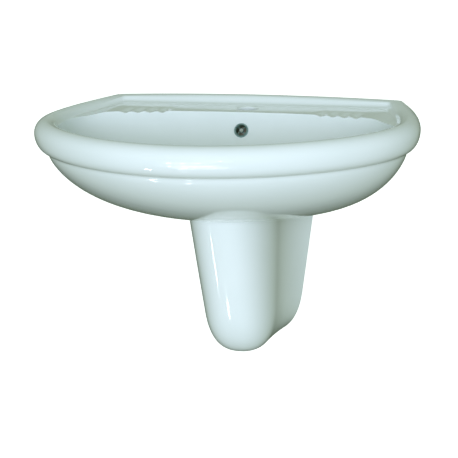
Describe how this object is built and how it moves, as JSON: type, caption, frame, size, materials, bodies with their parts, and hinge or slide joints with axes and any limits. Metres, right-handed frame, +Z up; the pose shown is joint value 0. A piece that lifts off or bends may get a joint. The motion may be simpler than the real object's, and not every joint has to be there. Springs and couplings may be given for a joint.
{
  "type": "wall-hung washbasin with half pedestal",
  "caption": "Wall-hung oval-fronted washbasin with a rolled rim, tap deck, push waste and trap behind a tapered half pedestal.",
  "frame": {"origin": "midway between the basin's two wall bolts, on the wall's plane", "axes": "+X to the right seen from the front, +Y into the wall, +Z up"},
  "size_m": [0.65, 0.56, 0.432],
  "materials": {
    "vitreous_china": "white glaze, high gloss",
    "chrome": "bright chrome plating",
    "brass": "turned brass",
    "rubber": "moulded",
    "grey_plastic": "moulded",
    "white_plastic": "moulded",
    "spring_steel": "drawn wire",
    "zinc_steel": "zinc plated"
  },
  "bodies": {
    "fixture": {"basin": "vitreous_china", "half_pedestal": "vitreous_china", "overflow_ring": "chrome", "waste_body": "chrome", "waste_top_seal": "rubber", "waste_bottom_seal": "rubber", "waste_backnut": "brass", "click_guide": "grey_plastic", "click_spring": "spring_steel", "trap_inlet_nut": "white_plastic", "trap_inlet_seal": "rubber", "trap_u_bend": "white_plastic", "trap_joint_nut": "white_plastic", "trap_joint_seal": "rubber", "trap_elbow": "white_plastic", "trap_outlet_nut": "white_plastic", "trap_outlet_seal": "rubber", "outlet_pipe": "white_plastic", "wall_rosette": "chrome", "basin_wall_bolts": "zinc_steel", "basin_bushes": "grey_plastic", "basin_washers": "zinc_steel", "basin_nuts": "zinc_steel", "pedestal_wall_bolts": "zinc_steel", "pedestal_washers": "grey_plastic", "pedestal_nuts": "zinc_steel"},
    "plug": {"plug_stem": "brass", "plug_cap": "chrome", "plug_seal": "rubber"},
    "cleanout_ring": {"cleanout_seal": "rubber"},
    "cleanout": {"cleanout_plug": "white_plastic"}
  },
  "joints": [
    {"name": "plug_travel", "type": "slide", "parent": "fixture", "child": "plug", "axis": [0, 0, 1], "range_m": [0, 0.009]},
    {"name": "cleanout_drop", "type": "slide", "parent": "fixture", "child": "cleanout_ring", "axis": [0, 0, -1], "range_m": [0, 0.009]},
    {"name": "cleanout_turn", "type": "hinge", "parent": "cleanout_ring", "child": "cleanout", "pos_m": [0, -0.19, -0.214], "axis": [0, 0, -1], "range_deg": [0, 1081]}
  ],
  "couplings": [
    {"joint": "cleanout_turn", "follows": "cleanout_drop", "rad_per_m": 2094.4}
  ]
}
